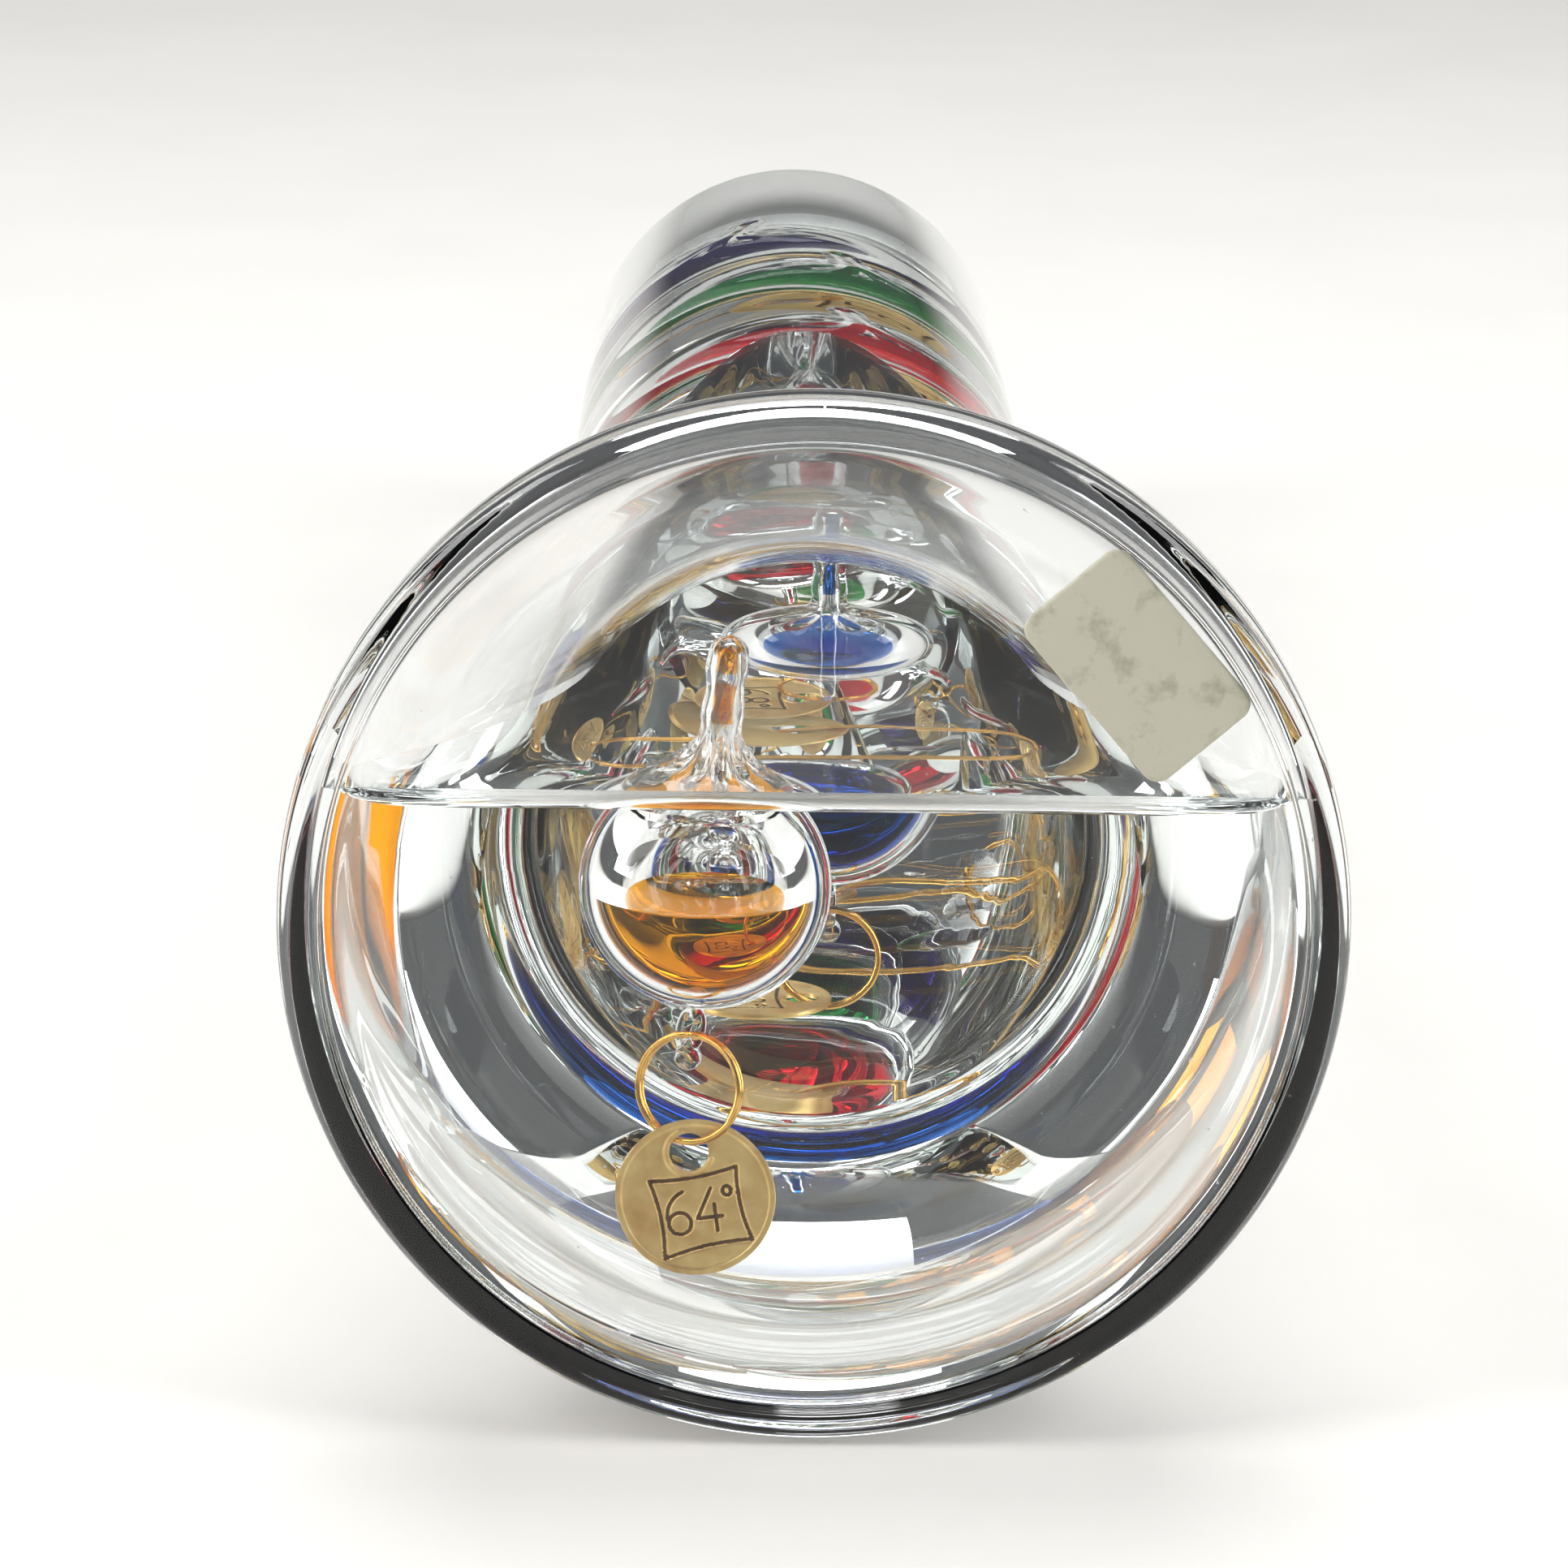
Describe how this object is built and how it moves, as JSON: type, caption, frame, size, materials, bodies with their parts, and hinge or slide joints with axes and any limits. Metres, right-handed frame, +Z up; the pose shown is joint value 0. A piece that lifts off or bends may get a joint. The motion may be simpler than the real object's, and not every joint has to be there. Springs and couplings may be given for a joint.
{
  "type": "galileo thermometer",
  "caption": "Sealed glass tube with a flared foot, part-filled with clear liquid, lying on its side; dyed glass floats inside carry brass rings and temperature tags.",
  "frame": {"origin": "centre of the box round the object, at the level of the table it lies on", "axes": "+Z up as it lies on its side, +Y along the tube towards the domed end, and the tube slopes 3.8 degrees down towards that end, +X to the right as seen facing the foot"},
  "size_m": [0.09, 0.3176, 0.09],
  "materials": {
    "vessel_glass": "clear fire-polished blown glass",
    "clear_liquid": "clear light oil",
    "adhesive_pad": "off-white closed-cell foam",
    "float_glass": "clear lamp-blown glass",
    "brass_wire": "bright drawn brass wire",
    "brass_tag": "satin stamped brass",
    "amber_dye": "dyed liquid",
    "blue_dye": "dyed liquid",
    "red_dye": "dyed liquid",
    "green_dye": "dyed liquid",
    "violet_dye": "dyed liquid"
  },
  "bodies": {
    "vessel": {"glass_body": "vessel_glass", "base_disc": "vessel_glass", "fill_liquid": "clear_liquid", "base_pad": "adhesive_pad"},
    "amber_float": {"amber_float_glass": "float_glass", "amber_float_dye": "amber_dye"},
    "amber_ring": {"amber_ring": "brass_wire"},
    "amber_tag": {"amber_tag": "brass_tag"},
    "blue_float": {"blue_float_glass": "float_glass", "blue_float_dye": "blue_dye"},
    "blue_ring": {"blue_ring": "brass_wire"},
    "blue_tag": {"blue_tag": "brass_tag"},
    "red_float": {"red_float_glass": "float_glass", "red_float_dye": "red_dye"},
    "red_ring": {"red_ring": "brass_wire"},
    "red_tag": {"red_tag": "brass_tag"},
    "green_float": {"green_float_glass": "float_glass", "green_float_dye": "green_dye"},
    "green_ring": {"green_ring": "brass_wire"},
    "green_tag": {"green_tag": "brass_tag"},
    "violet_float": {"violet_float_glass": "float_glass", "violet_float_dye": "violet_dye"},
    "violet_ring": {"violet_ring": "brass_wire"},
    "violet_tag": {"violet_tag": "brass_tag"}
  },
  "joints": [
    {"name": "amber_float_drift", "type": "slide", "parent": "vessel", "child": "amber_float", "axis": [1, 0, 0], "range_m": [0, 0.018]},
    {"name": "amber_ring_swing", "type": "hinge", "parent": "amber_float", "child": "amber_ring", "pos_m": [-0.01037, -0.14054, 0.03206], "axis": [1, 0, 0], "range_deg": [-8, 1]},
    {"name": "amber_tag_swing", "type": "hinge", "parent": "amber_ring", "child": "amber_tag", "pos_m": [-0.01037, -0.14219, 0.02271], "axis": [1, 0, 0], "range_deg": [-6, 2]},
    {"name": "blue_float_slide", "type": "slide", "parent": "vessel", "child": "blue_float", "axis": [0, 0.9978, -0.0661], "range_m": [-0.0158, 0.0387]},
    {"name": "blue_ring_swing", "type": "hinge", "parent": "blue_float", "child": "blue_ring", "pos_m": [0.002, -0.08006, 0.02821], "axis": [1, 0, 0], "range_deg": [-7, 7]},
    {"name": "blue_tag_rock", "type": "hinge", "parent": "blue_ring", "child": "blue_tag", "pos_m": [-0.0004, -0.08006, 0.01936], "axis": [-0.8632, 0, 0.5049], "range_deg": [-8, 8]},
    {"name": "red_float_slide", "type": "slide", "parent": "vessel", "child": "red_float", "axis": [0, 0.9978, -0.0661], "range_m": [-0.0387, 0.0102]},
    {"name": "red_ring_swing", "type": "hinge", "parent": "red_float", "child": "red_ring", "pos_m": [0.004, 0.0197, 0.0212], "axis": [1, 0, 0], "range_deg": [-7, 7]},
    {"name": "red_tag_rock", "type": "hinge", "parent": "red_ring", "child": "red_tag", "pos_m": [0.0016, 0.0197, 0.01235], "axis": [-0.8632, 0, 0.5049], "range_deg": [-8, 8]},
    {"name": "green_float_slide", "type": "slide", "parent": "vessel", "child": "green_float", "axis": [0, 0.9978, -0.0661], "range_m": [-0.0102, 0.0022]},
    {"name": "green_ring_swing", "type": "hinge", "parent": "green_float", "child": "green_ring", "pos_m": [0.004, 0.0626, 0.01836], "axis": [1, 0, 0], "range_deg": [-7, 7]},
    {"name": "green_tag_rock", "type": "hinge", "parent": "green_ring", "child": "green_tag", "pos_m": [0.0016, 0.0626, 0.00951], "axis": [-0.8632, 0, 0.5049], "range_deg": [-8, 8]},
    {"name": "violet_float_slide", "type": "slide", "parent": "vessel", "child": "violet_float", "axis": [0, 0.9978, -0.0661], "range_m": [-0.0022, 0.032]},
    {"name": "violet_ring_swing", "type": "hinge", "parent": "violet_float", "child": "violet_ring", "pos_m": [-0.005, 0.08954, 0.01658], "axis": [1, 0, 0], "range_deg": [-7, 7]},
    {"name": "violet_tag_rock", "type": "hinge", "parent": "violet_ring", "child": "violet_tag", "pos_m": [-0.0026, 0.08954, 0.00773], "axis": [0.8632, 0, 0.5049], "range_deg": [-8, 8]}
  ]
}
